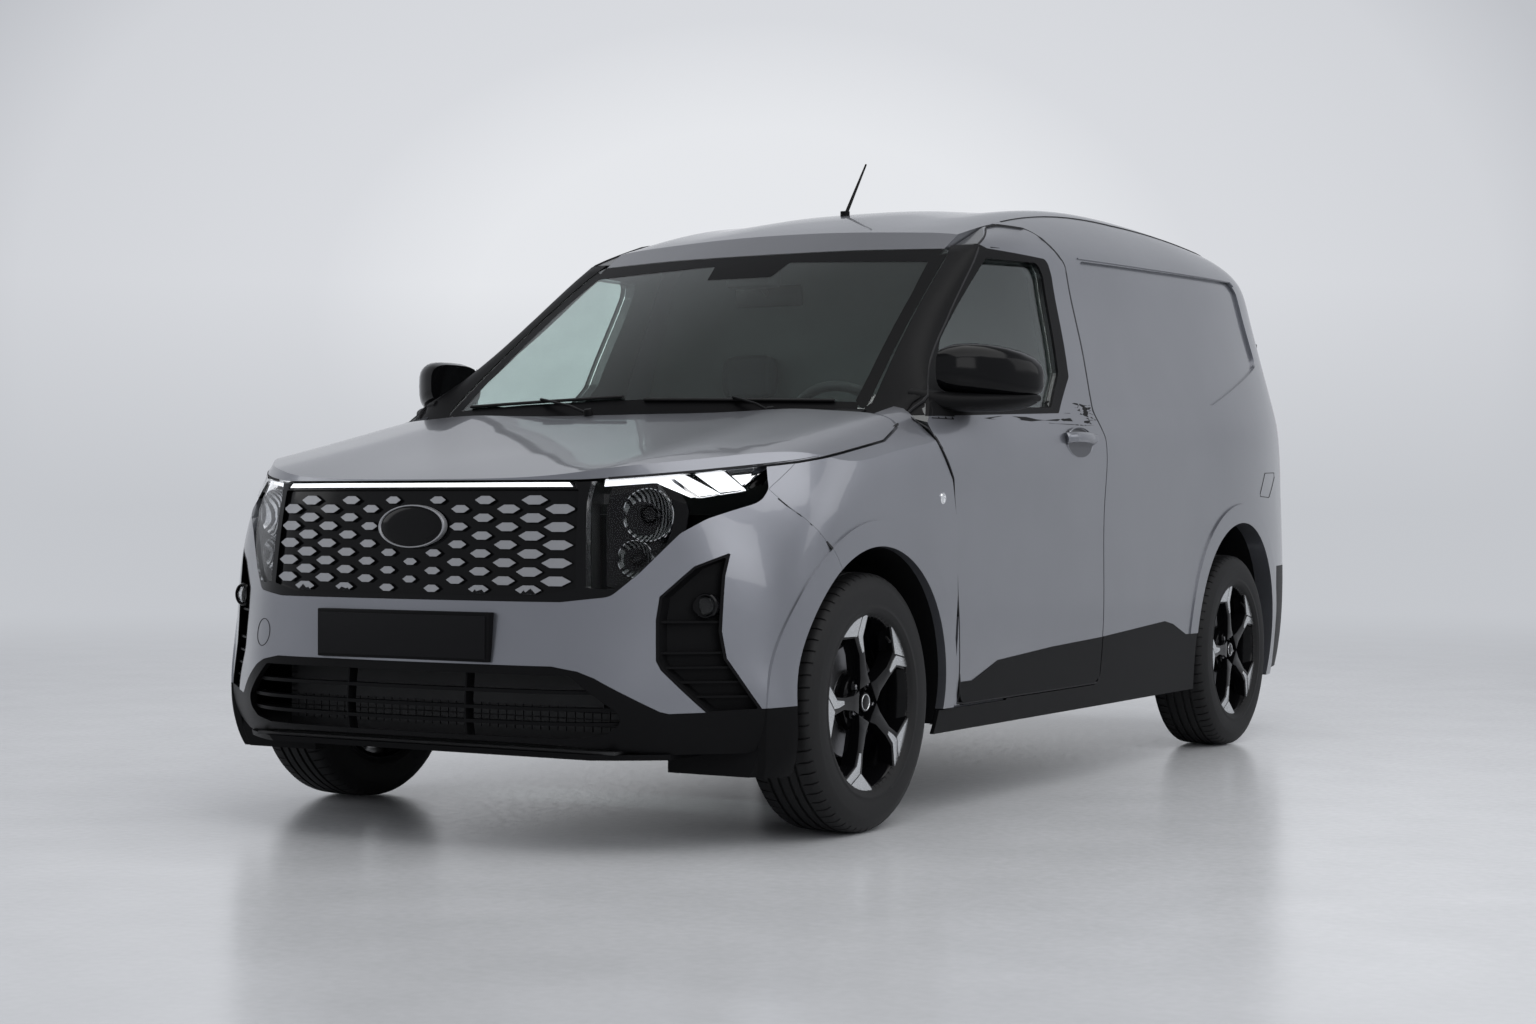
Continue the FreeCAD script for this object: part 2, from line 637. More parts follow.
MIRROR_FRONT_SHARES = ((-0.33, 0.604), (0.624, 0.604), (0.887, 0.611), (1.03, 0.633), (0.972, 0.664),
                       (0.657, 0.690), (-0.197, 0.695), (-0.33, 0.685))
MIRROR_ARM_SHARES = ((-0.79, 0.132), (-0.23, 0.132), (0.197, 0.175), (0.197, 0.235), (-0.79, 0.19))
MIRROR_ARM_HEIGHT_SHARES = (0.604, 0.628)
HANDLE_SHARES = (0.468, 0.5640)
CUP_SHARES = (0.4655, 0.5570)


def mirror_outline(pairs):
    """Closes a left-hand outline in (x, z) over the centre line."""
    return pairs + [(-x, z) for x, z in reversed(pairs)]


def arch(radius, place, lift=0):
    """The round space of a wheelhouse, from its inner wall outwards, on the left."""
    return Part.makeCylinder(radius, BIG, Vector(d.wheelhouse_inner, place, d.tyre_radius + lift), Vector(1, 0, 0))


def grow(pairs, distance):
    return inset(pairs, -distance)


def skin_out(up):
    """Half-width of the body beside the driver at a height, for shut faces."""
    station = CABIN_SHARES[5]
    crease = CREASE_SHARE + CREASE_RISE_SHARE * station[0]
    belt = crease + BELT_SHARE
    heights = list(LOWER_HEIGHT_SHARES) + [crease]
    heights += [belt + step * (station[3] - belt) for step in UPPER_STEP_SHARES]
    heights += [station[4][1], station[5]]
    outs = list(station[1]) + list(station[2]) + [station[4][0], 0]
    for i in range(len(heights) - 1):
        if up <= height(heights[i + 1]) or i == len(heights) - 2:
            low, high = height(heights[i]), height(heights[i + 1])
            part_way = max(0.0, min(1.0, (up - low) / (high - low)))
            return half(outs[i] + part_way * (outs[i + 1] - outs[i]))


def shut_prism(pairs, inner, outer, radius):
    """A side-view prism whose rear face leans outwards, so that a swinging door clears it."""
    wires = []
    for plane in (inner, outer):
        points = []
        for y, z in pairs:
            lean = (plane - skin_out(z)) * d.shut_slope if y > along(DOOR_REAR_SHARE) else 0
            points.append(Vector(plane, y + lean, z))
        wires.append(rounded_wire(points, radius))
    return Part.makeLoft(wires, True, True)


DOOR_REAR_SHARE = 0.5
DOOR_STOP_SHARES = (0.25, 0.45)
front_arch = arch(d.arch_radius, FRONT_AXLE)
rear_arch = arch(d.rear_arch_radius, REAR_AXLE, d.rear_arch_lift)
door_outline = side_points(DOOR_SHARES)
door_solid = shut_prism(door_outline, d.half_width / 2, 1.2 * d.half_width, d.corner_radius)
door_hole = shut_prism(grow(door_outline, d.shut_gap), d.half_width / 2, 1.2 * d.half_width, d.corner_radius)
bonnet_outline = side_points(BONNET_SIDE_SHARES)
bonnet_solid = side_prism(bonnet_outline, -BIG, BIG)
bonnet_hole = side_prism(grow(bonnet_outline, d.shut_gap), -BIG, BIG)
left_half = box(0, BIG, -BIG, BIG, -BIG, BIG)
glass_front = mirror_outline(front_points(WINDSCREEN_SHARES))
glass_hole = front_prism(grow(glass_front, d.seam_gap), -BIG, BIG)
rear_room = box(-BIG, BIG, along(REAR_DOOR_START_SHARE), BIG, -BIG, BIG)
rear_outline = front_points(REAR_DOOR_SHARES)
rear_door_hole = front_prism(grow(mirror_outline(rear_outline[1:-1]), d.shut_gap), along(REAR_DOOR_START_SHARE), BIG)
rear_door_solid = front_prism(inset(rear_outline, 0.7 * d.shut_gap), along(REAR_DOOR_START_SHARE), BIG, d.corner_radius)
lamp_hole = front_prism(front_points(TAIL_LAMP_SHARES), along(REAR_DOOR_START_SHARE), BIG, d.corner_radius / 2)
lamp_solid = front_prism(inset(front_points(TAIL_LAMP_SHARES), d.seam_gap), along(REAR_DOOR_START_SHARE), BIG,
                         d.corner_radius / 2)
roof_points = plan_points(ROOF_SHARES)
roof_outline = roof_points + [(-x, y) for x, y in reversed(roof_points)]
roof_solid = plan_prism(inset(roof_outline, d.seam_gap / 2), height(ROOF_START_SHARE), BIG)
roof_hole = plan_prism(grow(roof_outline, d.seam_gap / 2), height(ROOF_START_SHARE), BIG)
rear_bumper_hole = box(-BIG, BIG, along(REAR_BUMPER_SHARES[0]) - d.seam_gap, BIG, -BIG,
                       height(REAR_BUMPER_SHARES[1]) + d.seam_gap)


def cut_all(shape, tools):
    for tool in tools:
        shape = shape.cut(tool)
    return shape


# Body: fixed panels

def bonnet_rear(back):
    """Plan outline of all that lies behind the bonnet's rear edge, moved back by a length."""
    left = [(x, y + back) for x, y in plan_points(BONNET_REAR_SHARES)]
    ends = [(BIG, BIG), (-BIG, BIG)]
    return [(-x, y) for x, y in reversed(left[1:])] + left + ends


def cladding(shares):
    """Plastic cladding inside a side-view outline, a little proud of the left side."""
    layer = cabin_hull(-d.cladding_proud).cut(cabin_hull(d.trim_depth))
    return layer.common(side_prism(side_points(shares), half(0.5), BIG, d.panel_radius)).cut(behind_body)


def cladding_space(shares):
    """What the cladding and its seat take out of the panel behind it."""
    layer = cabin_hull(-d.overrun).cut(cabin_hull(d.trim_depth + d.seat_gap))
    return layer.common(side_prism(grow(side_points(shares), d.seat_gap), half(0.5), BIG, d.panel_radius))


def side_cladding():
    return biggest(cut_all(cladding(SIDE_CLADDING_SHARES), [door_hole, front_arch, rear_arch]))


def door_trim():
    """The black frame round the door's window with the sail under the mirror, and the cladding below."""
    layer = cabin.cut(cabin_hull(d.trim_depth)).common(door_solid)
    frame = layer.common(side_prism(side_points(DOOR_FRAME_SHARES), half(0.5), BIG, d.corner_radius / 2))
    frame = biggest(frame.cut(door_glass_hole))
    lower = biggest(cladding(DOOR_CLADDING_SHARES).common(door_solid))
    return Part.makeCompound([frame, lower])


def door():
    """The door's shell with its window, a cup and a handle over it."""
    roof_edge = plan_prism(grow(roof_outline, d.shut_gap), height(ROOF_START_SHARE), BIG)
    shell = side_shell.common(door_solid).cut(roof_edge)
    deep = cabin_hull(-d.overrun).cut(cabin_hull(d.trim_depth + d.seat_gap))
    frame_space = deep.common(side_prism(side_points(DOOR_FRAME_SHARES), half(0.5), BIG, d.corner_radius / 2))
    cup_place = Vector(skin_out(height(CUP_SHARES[1])) - d.cup_depth, along(CUP_SHARES[0]), height(CUP_SHARES[1]))
    cup = Part.makeCylinder(d.cup_radius, BIG, cup_place, Vector(1, 0, 0))
    shell = biggest(cut_all(shell, [door_glass_hole, frame_space, cladding_space(DOOR_CLADDING_SHARES), cup]))
    y, z = along(HANDLE_SHARES[0]), height(HANDLE_SHARES[1])
    skin = skin_out(z)
    reach = d.handle_length / 2
    rise = d.handle_height / 2
    bar = front_prism([(skin - d.handle_wall, z - rise), (skin + d.handle_stand, z - rise),
                       (skin + d.handle_stand, z + rise), (skin - d.handle_wall, z + rise)], y - reach, y + reach,
                      rise / 2)
    ends = plan_prism([(skin - d.handle_wall, y - reach), (skin + d.handle_wall, y - reach),
                       (skin + d.handle_stand, y - reach * 0.7), (skin + d.handle_stand, y + reach * 0.7),
                       (skin + d.handle_wall, y + reach), (skin - d.handle_wall, y + reach),
                       (skin - d.handle_wall, y + reach * 0.7), (skin + d.handle_wall, y + reach * 0.55),
                       (skin + d.handle_wall, y - reach * 0.55), (skin - d.handle_wall, y - reach * 0.7)],
                      z - rise, z + rise, d.clearance)
    return biggest(shell.fuse(bar.common(ends)))


def body_side():
    region = side_prism(side_points(BODY_SIDE_SHARES), 0, BIG, d.panel_radius)
    shape = cabin_slab.common(region)
    shape = cut_all(shape, [door_hole, roof_hole, glass_hole, rear_arch, rear_door_hole, lamp_hole,
                            rear_bumper_hole, cladding_space(SIDE_CLADDING_SHARES)])
    recess = cabin_hull().cut(cabin_hull(d.recess_depth))
    recess = recess.common(side_prism(side_points(RECESS_SHARES), half(0.5), BIG, d.corner_radius))
    shape = biggest(shape.cut(recess))
    gap = door_hole.cut(shut_prism(grow(door_outline, d.seat_gap), d.half_width / 2, 1.2 * d.half_width,
                                   d.corner_radius))
    for up in DOOR_STOP_SHARES:
        stop = Part.makeCylinder(d.stop_radius, 2 * d.overrun,
                                 Vector(skin_out(height(up)) - d.side_wall / 2, along(DOOR_SHARES[7][0]) - d.overrun,
                                        height(up)), Vector(0, 1, 0))
        shape = shape.fuse(stop.common(gap))
    return biggest(shape)


def roof():
    return biggest(cut_all(cabin_slab.common(roof_solid), [glass_hole, rear_door_hole]))


def fender():
    behind = box(0, half(0.86), along(0.05), BIG, height(0.5), BIG)
    region = side_prism(fender_points, half(0.5), BIG, d.panel_radius)
    face = front_prism(face_points, -BIG, along(FACE_END_SHARE), d.panel_radius)
    sill = box(0, BIG, along(0), BIG, -BIG, height(SILL_SHARE))
    return biggest(cut_all(nose_slab.common(region), [door_hole, bonnet_hole, front_arch, behind, face, sill]))


def behind_seam():
    """What lies behind the seam between the front bumper and the fenders, with the seam's gap."""
    return side_prism(grow(fender_points, d.seam_gap), -BIG, BIG, d.panel_radius)


def front_bumper():
    shape = nose_slab.common(box(-BIG, BIG, -BIG, along(SEAM_SHARES[-1][0]), -BIG, BIG))
    opening = front_prism(grow(face_points, d.seam_gap), -BIG, along(FACE_END_SHARE), d.corner_radius)
    pods = front_prism(pod_points, -BIG, along(FACE_END_SHARE), d.panel_radius)
    lower = front_prism(lower_points, -BIG, 0, d.panel_radius)
    shape = cut_all(shape, [opening, pods, mirrored(pods), lower, front_arch, mirrored(front_arch), bonnet_hole,
                            behind_seam()])
    return biggest(shape)


def nose_layer(outer, inner, prism):
    """The part of the nose's skin between two depths and inside a prism."""
    return nose_hull(outer).cut(nose_hull(inner)).common(prism)


def fog_pod():
    """A recess with a round lamp and ribs, on the left."""
    floor_depth = d.pod_depth - d.pod_wall
    block = nose_layer(0, d.pod_depth, front_prism(inset(pod_points, d.seam_gap), -BIG, along(FACE_END_SHARE),
                                                   d.panel_radius))
    well = nose_layer(-d.overrun, floor_depth, front_prism(inset(pod_points, d.pod_wall), -BIG,
                                                           along(FACE_END_SHARE), d.panel_radius))
    inside = front_prism(inset(pod_points, d.pod_wall / 2), -BIG, along(FACE_END_SHARE), d.panel_radius)
    middle = Vector(half(FOG_LAMP_SHARES[0]), -BIG, height(FOG_LAMP_SHARES[1]))
    lamp = nose_layer(d.pod_wall, floor_depth + 1, Part.makeCylinder(d.fog_lamp_radius, BIG, middle,
                                                                     Vector(0, 1, 0)))
    rims = [box(half(0.5), half(1), -BIG, along(FACE_END_SHARE), height(up) - d.slat_height / 3,
                height(up) + d.slat_height / 3) for up in POD_RIB_SHARES]
    ribs = nose_layer(1.5 * d.pod_wall, floor_depth + 1, inside).common(Part.makeCompound(rims))
    return block.cut(well).fuse([lamp] + ribs.Solids)


def lower_bumper():
    """The black lower bumper with its slatted intake, fog pods, undertray and air deflectors."""
    shape = nose_slab.common(box(-BIG, BIG, -BIG, along(SEAM_SHARES[-1][0]), -BIG, BIG))
    shape = shape.common(front_prism(inset(lower_points, d.seam_gap), -BIG, 0, d.panel_radius))
    intake_points = mirror_outline(front_points(INTAKE_SHARES))
    intake = front_prism(intake_points, -BIG, 0, d.corner_radius / 2)
    room = front_prism(grow(intake_points, d.pod_wall), -BIG, 0, d.corner_radius / 2)
    rise = d.slat_height / 2
    bars = [box(-half(1), half(1), -BIG, 0, height(up) - rise, height(up) + rise) for up in SLAT_SHARES]
    bars += [box(half(x) - rise / 2, half(x) + rise / 2, -BIG, 0, 0, height(0.3)) for x in BAR_SHARES]
    depth = d.nose_wall - d.pod_wall
    slats = nose_layer(depth, depth + d.slat_depth, room)
    lattice = slats.common(bars[0].fuse(bars[1:]))
    x, y, z = UNDERTRAY_SHARES
    tray = box(half(x[0]), half(x[1]), along(y[0]), along(y[1]), height(z[0]), height(z[1]))
    x, y, z = DEFLECTOR_SHARES
    fin = box(half(x[0]), half(x[1]), along(y[0]), along(y[1]), height(z[0]), height(z[1]))
    inner = nose_hull(d.nose_wall / 2)
    pod = fog_pod()
    shape = shape.cut(intake).fuse([lattice, tray.common(inner), fin.common(inner), mirrored(fin.common(inner)), pod,
                                    mirrored(pod)])
    return biggest(cut_all(shape, [front_arch, mirrored(front_arch), behind_seam()]))


def bonnet():
    return biggest(nose_slab.common(bonnet_solid).cut(behind_bonnet))


BODY_SIDE_SHARES = ((0.0885, 0.595), (0.172, 0.595), (0.172, 0.12), (2.2, 0.12), (2.2, 1.1), (0.0885, 1.1))
SILL_SHARE = 0.157
FENDER_END_SHARES = ((0.185, 0.1), (0.185, 0.62))
FACE_END_SHARE = -0.2
fender_points = side_points(SEAM_SHARES + FENDER_END_SHARES)
face_points = mirror_outline(front_points(FACE_SHARES))
pod_points = front_points(POD_SHARES)
lower_points = mirror_outline(front_points(LOWER_FRONT_SHARES))


# Pieces inside the body

def room_piece(y_start, y_end, z_start, z_end):
    """The part of the space inside the walls that lies between four planes."""
    return cabin_room.common(box(-BIG, BIG, y_start, y_end, z_start, z_end))


def wheelhouse(place, room, radius, lift):
    """A closed shield round the upper part of a wheel's space, on the left."""
    inner = d.wheelhouse_inner - d.liner_wall
    shape = Part.makeCylinder(radius + d.liner_wall, d.half_width, Vector(inner, place, d.tyre_radius + lift),
                              Vector(1, 0, 0))
    shape = shape.common(room).cut(arch(radius, place, lift))
    return shape.cut(box(0, BIG, -BIG, BIG, -BIG, height(LINER_LOW_SHARE)))


def floor_pan():
    """The cab's floor and the firewall ahead of it."""
    top = d.floor_height + d.floor_thickness
    cab = room_piece(firewall_y, bulkhead_y, d.floor_height, top)
    firewall = room_piece(firewall_y - d.floor_thickness, firewall_y, d.floor_height, height(FIREWALL_TOP_SHARE))
    corner = box(half(0.84), d.half_width, firewall_y - d.overrun, firewall_y, height(DOOR_TIP_SHARE), BIG)
    return biggest(cut_all(cab.fuse(firewall).removeSplitter(), [corner, mirrored(corner)]))


def load_floor():
    """The raised floor of the load space, its front step and the plate that the load stands on."""
    start = bulkhead_y + d.seat_gap
    step = room_piece(start, start + d.floor_thickness, d.floor_height, d.load_floor_height)
    deck = room_piece(start, load_end, d.load_floor_height - d.floor_thickness, d.load_floor_height)
    inner = d.wheelhouse_inner - d.liner_wall - d.seat_gap
    house = Part.makeCylinder(d.rear_arch_radius + d.liner_wall + d.seat_gap, BIG,
                              Vector(inner, REAR_AXLE, d.tyre_radius + d.rear_arch_lift), Vector(1, 0, 0))
    plate_half = inner - 2 * d.clearance
    plate = box(-plate_half, plate_half, start + d.bulkhead_thickness + d.overrun, load_end - d.overrun,
                d.load_floor_height - d.clearance, d.load_floor_height + d.mount_plate)
    return biggest(cut_all(step.fuse(deck), [house, mirrored(house)]).fuse(plate).removeSplitter())


def rear_wheelhouse():
    reach = d.axle_tube_radius + d.clearance
    slot = box(0, d.half_width, REAR_AXLE - reach, REAR_AXLE + reach, 0, d.tyre_radius + reach)
    return biggest(wheelhouse(REAR_AXLE, cabin_room, d.rear_arch_radius, d.rear_arch_lift).cut(slot))


def bulkhead():
    return biggest(room_piece(bulkhead_y, bulkhead_y + d.bulkhead_thickness, d.load_floor_height + d.seat_gap, BIG))


COWL_DROP_SHARES = (0.35, 1.2)


def cowl():
    """The tray between the bonnet's rear edge and the foot of the windscreen."""
    strip = plan_prism(bonnet_rear(d.shut_gap), 0, BIG, half(0.4)).cut(plan_prism(bonnet_rear(d.cowl_depth), 0, BIG,
                                                                               half(0.4)))
    strip = strip.common(box(-half(0.78), half(0.78), -BIG, BIG, 0, BIG))
    tray = nose.common(strip).cut(bonnet_surface(COWL_DROP_SHARES[0] * d.bonnet_depth).extrude(Vector(0, 0, BIG)))
    tray = tray.common(bonnet_surface(COWL_DROP_SHARES[1] * d.bonnet_depth).extrude(Vector(0, 0, BIG)))
    tray = biggest(tray.cut(glass_below).common(left_half))
    return Part.makeCompound([tray, mirrored(tray)])


DASH_SHARES = ((0.0, 0.817), (0.0, 1.016), (0.7, 1.044), (1.0, 0.980), (0.9, 0.762), (0.5, 0.653), (0.3, 0.653))


def dashboard():
    front = firewall_y + d.seat_gap
    profile = [(front + run * d.dash_depth, up * d.wheel_height) for run, up in DASH_SHARES]
    block = side_prism(profile, -half(0.83), half(0.83), d.panel_radius)
    lean = math.radians(d.column_lean)
    axis = Vector(0, math.sin(lean), math.cos(lean))
    centre = Vector(d.seat_place, behind_axle(d.wheel_place), d.wheel_height)
    start = centre - axis * (3 * d.wheel_rim_thickness + d.seat_gap)
    column = Part.makeCylinder(2 * d.wheel_rim_thickness, (start.y - front) / axis.y - d.dash_depth / 5, start, axis * -1)
    return biggest(block.fuse(column).common(cabin_room))


def seat(x):
    """One seat with its cushion, back and head restraint on a plinth."""
    y = behind_axle(d.bulkhead_place) - d.seat_back_depth - 3 * d.clearance
    floor = d.floor_height + d.floor_thickness + d.seat_gap
    top = floor + d.seat_plinth
    left, right = x - d.seat_width / 2, x + d.seat_width / 2
    front = y - d.seat_cushion_depth
    plinth = box(left + d.overrun, right - d.overrun, front + d.overrun, y, floor, top)
    cushion = side_prism([(front, top), (y, top), (y, top + d.seat_cushion_height * 0.8),
                          (front, top + d.seat_cushion_height)], left, right, d.corner_radius)
    lean = d.seat_back_depth / 3
    rise = top + d.seat_back_height
    back = side_prism([(y - d.seat_back_depth, top + d.clearance), (y, top + d.clearance), (y + d.seat_back_depth, rise),
                       (y + lean, rise)], left, right, d.corner_radius)
    rest = side_prism([(y + lean, rise + d.corner_radius), (y + d.seat_back_depth, rise + d.corner_radius),
                       (y + d.seat_back_depth + d.clearance, rise + d.head_rest), (y + lean + d.clearance,
                                                                                  rise + d.head_rest)],
                      x - d.seat_width / 4, x + d.seat_width / 4, d.corner_radius)
    post = box(x - d.clearance, x + d.clearance, y + lean + d.corner_radius, y + lean + d.corner_radius + 2 * d.clearance,
               rise - d.corner_radius, rise + 2 * d.corner_radius)
    return plinth.fuse([cushion, back, rest, post]).removeSplitter()


def drive_unit():
    """The motor, gears and electronics as one block with a mounting lug over each rail."""
    block = box(-half(0.38), half(0.38), along(-0.45), along(0.07), height(0.17), height(0.44))
    top = d.floor_height + 1.5 * d.rail_height + d.seat_gap
    lug = box(-half(0.47), half(0.47), FRONT_AXLE - d.rail_width, FRONT_AXLE, top, top + d.rail_width / 2)
    return block.fuse(lug).removeSplitter()


# Front face

def tabs():
    """Rows of long six-sided tabs, larger outwards, as prisms through the grille."""
    outlines = []
    for column in range(-TAB_COLUMNS, TAB_COLUMNS + 1):
        middle = column * TAB_PITCH_SHARES[0]
        wide = TAB_HALF_WIDTH_SHARES[0] + TAB_HALF_WIDTH_SHARES[1] * abs(middle)
        tall = TAB_HALF_HEIGHT_SHARES[0] + TAB_HALF_HEIGHT_SHARES[1] * abs(middle)
        rows = 5 + column % 2
        for row in range(rows):
            up = TAB_TOP_SHARES[column % 2] - row * TAB_PITCH_SHARES[1]
            tip = wide * TAB_TIP_SHARE
            outlines.append([(middle - wide, up), (middle - tip, up - tall), (middle + tip, up - tall),
                             (middle + wide, up), (middle + tip, up + tall), (middle - tip, up + tall)])
    sensor = front_prism(grow(front_points(SENSOR_SHARES), d.clearance), -BIG, 0, d.clearance)
    mesh = front_prism(inset(mesh_points, d.clearance), -BIG, 0, d.panel_radius)
    prisms = []
    for outline in outlines:
        wire = Part.makePolygon([Vector(x, -BIG, z) for x, z in front_points(outline + outline[:1])])
        prisms.append(Part.Face(wire).extrude(Vector(0, BIG, 0)))
    return Part.makeCompound(prisms).common(mesh).cut(sensor)


def grille():
    """The black face: a surround that reaches under the lamps, and a sunk panel with tabs and a sensor cover."""
    shape = nose_slab.common(front_prism(face_points, -BIG, along(FACE_END_SHARE), d.corner_radius))
    lamps = front_prism(front_points(LAMP_SHARES), -BIG, 0, d.panel_radius)
    well = nose_layer(-d.overrun, d.tab_depth, front_prism(mesh_points, -BIG, 0, d.clearance))
    bar = nose_layer(-d.overrun, d.light_bar_depth + d.seat_gap, front_prism(grow(bar_points, d.seat_gap), -BIG, 0,
                                                                             d.clearance))
    shape = biggest(cut_all(shape, [lamps, mirrored(lamps), well, bar, bonnet_hole, behind_seam()]))
    raised = nose_layer(1, d.tab_depth + 1, tabs())
    cover = nose_layer(d.seat_gap, d.tab_depth + 1, front_prism(front_points(SENSOR_SHARES), -BIG, 0, d.clearance))
    return biggest(shape.fuse(raised.Solids + [cover]))


def headlamp():
    shape = nose_slab.common(front_prism(inset(front_points(LAMP_SHARES), d.seam_gap / 2), -BIG,
                                         along(FACE_END_SHARE), d.panel_radius))
    shape = shape.common(front_prism(face_points, -BIG, along(FACE_END_SHARE), d.corner_radius))
    return biggest(cut_all(shape, [bonnet_hole, behind_seam()]))


def light_bar():
    return biggest(nose_layer(0, d.light_bar_depth, front_prism(bar_points, -BIG, 0, d.clearance)).cut(bonnet_hole))


def reach_points(pairs):
    """Plan or front outlines of the mirror: 0 at the body's half width, 1 at the mirror's outer end."""
    return [(d.half_width + x * (d.mirror_reach - d.half_width), other) for x, other in pairs]


def mirror():
    """The mirror's head and the arm that carries it on the door's sail."""
    plan = [(x, along(y)) for x, y in reach_points(MIRROR_PLAN_SHARES)]
    front = [(x, height(z)) for x, z in reach_points(MIRROR_FRONT_SHARES)]
    head = plan_prism(plan, 0, BIG, d.corner_radius).common(front_prism(front, -BIG, BIG, d.corner_radius))
    foot = [(x, along(y)) for x, y in reach_points(MIRROR_ARM_SHARES)]
    arm = plan_prism(foot, height(MIRROR_ARM_HEIGHT_SHARES[0]), height(MIRROR_ARM_HEIGHT_SHARES[1]), d.panel_radius)
    return biggest(head.fuse(arm).cut(cabin))


mesh_points = mirror_outline(front_points(GRILLE_MESH_SHARES))
bar_points = mirror_outline(front_points(LIGHT_BAR_SHARES))


# Wheels and running gear

def formula_point(sketch, formulas):
    return [float(sketch.evalExpression(formula)) for formula in formulas]


def profile(body, role, outline):
    """A closed sketch of straight sides whose every corner is tied to the sheet."""
    sketch = body.newObject("Sketcher::SketchObject", "Profile")
    plane = next(f for f in body.Origin.OriginFeatures if f.Role == role)
    sketch.AttachmentSupport = [(plane, "")]
    sketch.MapMode = "FlatFace"
    corners = [formula_point(sketch, pair_of) for pair_of in outline]
    count = len(corners)
    for i in range(count):
        a, b = corners[i], corners[(i + 1) % count]
        sketch.addGeometry(Part.LineSegment(Vector(a[0], a[1], 0), Vector(b[0], b[1], 0)), False)
    for i in range(count):
        sketch.addConstraint(Sketcher.Constraint("Coincident", i, 2, (i + 1) % count, 1))
    for i, (along_first, along_second) in enumerate(outline):
        for kind, formula, value in (("DistanceX", along_first, corners[i][0]), ("DistanceY", along_second, corners[i][1])):
            index = sketch.addConstraint(Sketcher.Constraint(kind, -1, 1, i, 1, value))
            sketch.setExpression("Constraints[%d]" % index, formula)
    return sketch


def revolved(body, outline):
    sketch = profile(body, "XZ_Plane", outline)
    feature = body.newObject("PartDesign::Revolution", "Turned")
    feature.Profile = sketch
    feature.ReferenceAxis = (sketch, ["H_Axis"])
    feature.Angle = 360
    return feature


TYRE_PROFILE = (
    ("sizes.rim_depth / 2 - sizes.rim_wall - sizes.seat_gap", "sizes.rim_radius + sizes.seat_gap"),
    ("sizes.rim_depth / 2 - sizes.rim_wall - sizes.seat_gap", "sizes.rim_radius + sizes.rim_lip"),
    ("sizes.tyre_width / 2", "sizes.rim_radius + 0.45 * (sizes.tyre_radius - sizes.rim_radius)"),
    ("sizes.tyre_width / 2 - 0.15 * sizes.tyre_shoulder", "sizes.rim_radius + 0.75 * (sizes.tyre_radius - sizes.rim_radius)"),
    ("sizes.tyre_width / 2 - 0.6 * sizes.tyre_shoulder", "sizes.tyre_radius - 0.35 * sizes.tyre_shoulder"),
    ("sizes.tyre_width / 2 - 1.3 * sizes.tyre_shoulder", "sizes.tyre_radius"),
)


def opposite(outline):
    """Adds the mirror image of a profile over the wheel's middle plane."""
    return list(outline) + [("-(%s)" % x, z) for x, z in reversed(outline)]


def tyre(name):
    body = doc.addObject("PartDesign::Body", name)
    revolved(body, opposite(TYRE_PROFILE))
    return body


HALF_RIM = "sizes.rim_depth / 2"
RIM_PROFILE = (
    (HALF_RIM, "sizes.rim_radius - sizes.rim_wall"),
    (HALF_RIM, "sizes.rim_radius + sizes.rim_lip"),
    (HALF_RIM + " - sizes.rim_wall", "sizes.rim_radius + sizes.rim_lip"),
    (HALF_RIM + " - sizes.rim_wall", "sizes.rim_radius"),
)
DISC_PROFILE = (
    ("0", "sizes.spindle_radius + 2 * sizes.seat_gap"),
    ("sizes.spindle_length + sizes.seat_gap", "sizes.spindle_radius + 2 * sizes.seat_gap"),
    ("sizes.spindle_length + sizes.seat_gap", "0"),
    (HALF_RIM + " - sizes.rim_wall", "0"),
    (HALF_RIM + " - sizes.rim_wall", "sizes.hub_radius"),
    ("sizes.disc_thickness", "sizes.hub_radius"),
    ("sizes.disc_thickness", "sizes.disc_radius"),
    ("0", "sizes.disc_radius"),
)
ROOT_SHARE, FORK_SHARE, ARM_INNER_DEG, ARM_OUTER_DEG, SPOKES = 0.86, 0.64, 10.5, 19.0, 5


def wheel(name):
    """Rim, hub, brake disc and five forked spokes as one piece."""
    body = doc.addObject("PartDesign::Body", name)
    revolved(body, opposite(RIM_PROFILE))
    doc.recompute()
    revolved(body, DISC_PROFILE)
    doc.recompute()
    reach = "(sizes.rim_radius - sizes.rim_wall / 2)"
    fork = "(%s * sizes.rim_radius)" % FORK_SHARE
    root = "(%s * sizes.hub_radius)" % ROOT_SHARE
    right = [
        ("0.7 * sizes.spoke_width", root),
        ("0.7 * sizes.spoke_width", "0.8 * " + fork),
        ("%s * sin(%s deg)" % (reach, ARM_OUTER_DEG), "%s * cos(%s deg)" % (reach, ARM_OUTER_DEG)),
        ("%s * sin(%s deg)" % (reach, ARM_INNER_DEG), "%s * cos(%s deg)" % (reach, ARM_INNER_DEG)),
    ]
    outline = right + [("0", fork)] + [("-(%s)" % a, b) for a, b in reversed(right)]
    sketch = profile(body, "YZ_Plane", outline)
    sketch.setExpression("AttachmentOffset.Base.z", HALF_RIM + " - sizes.spoke_depth")
    spoke = body.newObject("PartDesign::Pad", "Spoke")
    spoke.Profile = sketch
    spoke.setExpression("Length", "sizes.spoke_depth - sizes.rim_wall")
    doc.recompute()
    pattern = body.newObject("PartDesign::PolarPattern", "Spokes")
    pattern.Originals = [spoke]
    pattern.Axis = (sketch, ["N_Axis"])
    pattern.Angle = 360
    pattern.Occurrences = SPOKES
    body.Tip = pattern
    doc.recompute()
    return body


